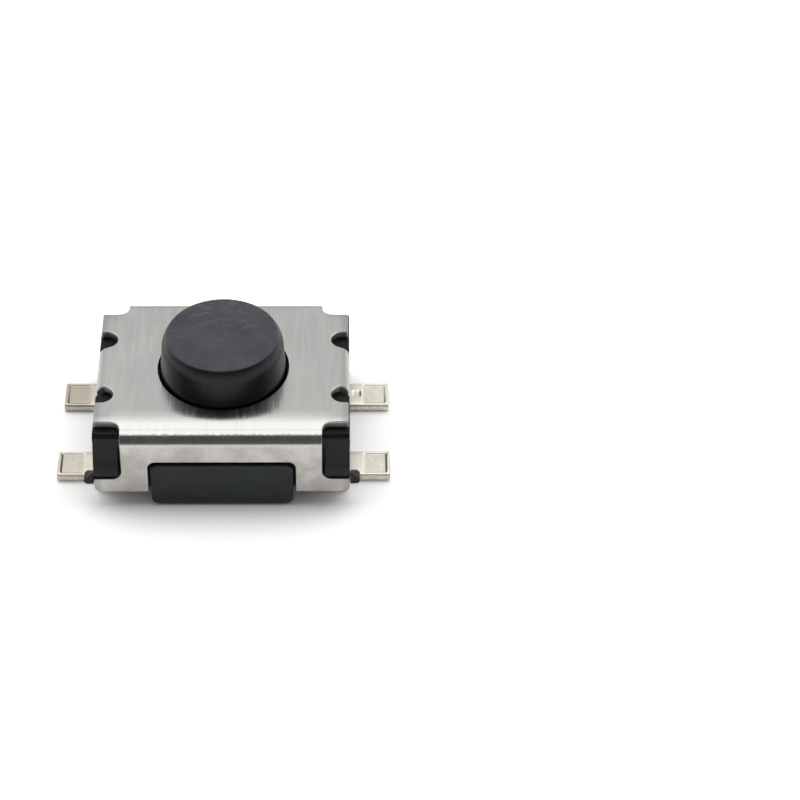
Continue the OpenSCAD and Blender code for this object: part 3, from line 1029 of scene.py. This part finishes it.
# %% The ring, and the tongue with its pad
ring_r = 1.10
ring_w = 0.3
pad_r = 0.25
pad_slope = 0.16
pad_z = 0.60
pad_edge_r = 0.05
skin = 0.002
stamped_roll = 0.012
stamped_burr = 0.005
round_steps = 96
pad_steps = 64


def stamped_plate(name, outlines, top):
    """A plate a hair thinner than the strip, so that none of their faces coincide when joined."""
    bm = plate_from_outlines(outlines, lead_t - 2 * skin, stamped_roll, stamped_burr)
    bmesh.ops.translate(bm, vec=(0, 0, top - skin), verts=bm.verts)
    return working_object(name, bm)


ring_inside = circle_points(ring_r - ring_w, round_steps)[::-1]
ring = stamped_plate("ring", [circle_points(ring_r, round_steps), ring_inside], floor_z)

tongue_half = pad_r + pad_slope
tongue_end_r = tongue_half - 0.001
tongue_corners = [
    (-tongue_half, -lead_y, 0),
    (tongue_half, -lead_y, 0),
    (tongue_half, tongue_half, tongue_end_r),
    (-tongue_half, tongue_half, tongue_end_r),
]
pad_foot = centre_z + lead_t
tongue = stamped_plate("tongue", [rounded(tongue_corners, 16)], pad_foot)

sunk_foot = pad_foot - 0.05
pad_section = [
    (0, sunk_foot, 0),
    (tongue_half - 0.02, sunk_foot, 0),
    (tongue_half - 0.02, pad_foot, 0),
    (pad_r, pad_z, pad_edge_r),
    (0, pad_z, 0),
]
pad = working_object("pad", turned_solid(rounded(pad_section, closed=False), pad_steps))
hollow_foot = centre_z - 0.1
hollow_section = [
    Vector((0, hollow_foot)),
    Vector((pad_r, hollow_foot)),
    Vector((pad_r, centre_z)),
    Vector((pad_r - pad_slope, pad_z - lead_t)),
    Vector((0, pad_z - lead_t)),
]
pad_hollow = working_object("pad_hollow", turned_solid(hollow_section, pad_steps))


# %% Join each contact into one stamping
def joined(made, others, operation="UNION"):
    """The object joined with others, or cut by them, as one closed mesh."""
    for other in others:
        modifier(made, "BOOLEAN", object=other, operation=operation, solver="EXACT")
    baked(made)
    for other in others:
        bpy.data.objects.remove(other)
    return made


outer_stamping = finished_piece(joined(outer_strip, [ring]), "outer_stamping")
padded_strip = joined(centre_strip, [tongue, pad])
centre_stamping = finished_piece(
    joined(padded_strip, [pad_hollow], "DIFFERENCE"), "centre_stamping"
)

# %% [markdown]
# ## Put the pieces on the frame
# Each finished piece stands for one CAD node and moves with that node's body. The dome and the film
# stay the CAD's own nodes and only get a finish. They are thin sprung shells that the button's boss
# pushes flat, so they can't simply move with a body.

# %% Dress the frame
def dress(piece, node, body, material=None):
    if material:
        piece.data.materials.clear()
        piece.data.materials.append(material)
    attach(piece, body)
    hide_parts(node)
    print(piece.name, "stands for", node, "and moves with", body)


dress(steel_cover, "cover", "switch", steel)
dress(moulded_base, "base", "switch", black)
dress(push_button, "plunger", "button", charcoal)
dress(outer_stamping, "outer_contact", "switch")
dress(centre_stamping, "centre_contact", "switch")

# %% Give the dome and the film their finishes and their own meshes
# each: its finish, and the share of its height above its rim for when the button is down
flattening = {"snap_dome": (spring, 0.35), "sealing_film": (amber, 0.22)}
for node, (material, keep) in flattening.items():
    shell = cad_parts[node]
    shell.data.materials.clear()
    shell.data.materials.append(material)
    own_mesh(shell)

# %% [markdown]
# ## The floor
# The photograph has a plain white ground with a soft grey shadow. The floor is a plain white
# surface that shows brighter to the camera, to mirrored rays and to rays through film, so that it
# stays white in all of them and still keeps the shadow, and lights the switch no more than white
# paper does. Its back is clear, so that the underside can be looked at from below.

# %% Lay the floor
paper = 0.92
paper_seen = 1.80
floor_half_m = 0.3
floor_drop_mm = 0.01


def seen_ray(recipe, mirrored=1.0):
    """1 for the camera's rays, and the given share for rays off metal or through film."""
    camera_ray = recipe.add("ShaderNodeLightPath", None, None, "Is Camera Ray")
    glossy = camera_ray.output("Is Glossy Ray")
    through = camera_ray.output("Is Transmission Ray")
    return recipe.math("MAXIMUM", camera_ray, recipe.math("MAXIMUM", glossy, through) * mirrored)


def white_floor():
    material = bpy.data.materials.new("white_floor")
    material.use_nodes = True
    recipe = Recipe(material.node_tree)
    white = recipe.mix(seen_ray(recipe), (paper,) * 3, (paper_seen,) * 3)
    diffuse = recipe.add("ShaderNodeBsdfDiffuse", None, {"Color": white})
    clear = recipe.add("ShaderNodeBsdfTransparent")
    below = recipe.add("ShaderNodeNewGeometry", None, None, "Backfacing")
    shaders = {"Fac": below, "Shader": diffuse, "Shader_001": clear}
    surface = recipe.add("ShaderNodeMixShader", None, shaders)
    recipe.add("ShaderNodeOutputMaterial", None, {"Surface": surface})
    return material


floor_z_m = -floor_drop_mm * MM
floor_corners = [
    (floor_half_m * x, floor_half_m * y, floor_z_m) for x, y in ((-1, -1), (1, -1), (1, 1), (-1, 1))
]
floor_mesh = bpy.data.meshes.new("floor")
floor_mesh.from_pydata(floor_corners, [], [(0, 1, 2, 3)])
floor = linked_object("floor", floor_mesh)
floor.data.materials.append(white_floor())
print("The floor is", 2 * floor_half_m, "m wide and", floor_drop_mm, "mm below the leads")

# %% [markdown]
# ## The light
# The photograph has a bright panel high up, from over the switch to behind it, some light from low
# behind it and from both sides, and little from the camera's side: the top of the cover is bright
# where it bends towards the front, and the fold itself is dark. The world gives all of that, and
# its light depends on the direction only. The camera sees it as plain white. So do mirrored rays
# near the horizon, where polished metal shows the white ground's far edge.

# %% Light the world
base_light = 0.13
overhead_light = 1.6
rear_light = 0.48
front_light = 0.18
side_light = 0.32
pure_white = (1, 1, 1, 1)


def studio_world():
    world = bpy.data.worlds.new("studio")
    world.use_nodes = True
    recipe = Recipe(world.node_tree)
    x, y, z = recipe.split(recipe.add("ShaderNodeTexCoord", None, None, "Generated"))
    lengthways = recipe.smooth(y, -0.12, 0.02) * (1 - recipe.smooth(y, 0.35, 0.85))
    crossways = 1 - recipe.smooth(abs(x), 0.65, 0.85)
    overhead = lengthways * crossways * recipe.smooth(z, 0.05, 0.3)
    behind = recipe.smooth(y, 0.50, 0.74)
    before = 1 - recipe.smooth(y, -0.90, -0.80)
    sides = recipe.smooth(abs(x), 0.80, 0.92)
    panels = base_light + overhead * overhead_light + behind * rear_light
    strength = panels + before * front_light + sides * side_light
    studio = recipe.add("ShaderNodeBackground", None, {"Color": pure_white, "Strength": strength})
    plain = recipe.add("ShaderNodeBackground", None, {"Color": pure_white, "Strength": 1.0})
    seen = seen_ray(recipe, 1 - recipe.smooth(z, 0.10, 0.25))
    shaders = {"Fac": seen, "Shader": studio, "Shader_001": plain}
    surface = recipe.add("ShaderNodeMixShader", None, shaders)
    recipe.add("ShaderNodeOutputWorld", None, {"Surface": surface})
    return world


bpy.context.scene.world = studio_world()
print("World light: base", base_light, "and overhead", overhead_light, "on top of it")

# %% [markdown]
# ## Finish
# The plain view transform shows colours as they are written.

# %% Finish
bpy.context.scene.view_settings.view_transform = "Standard"
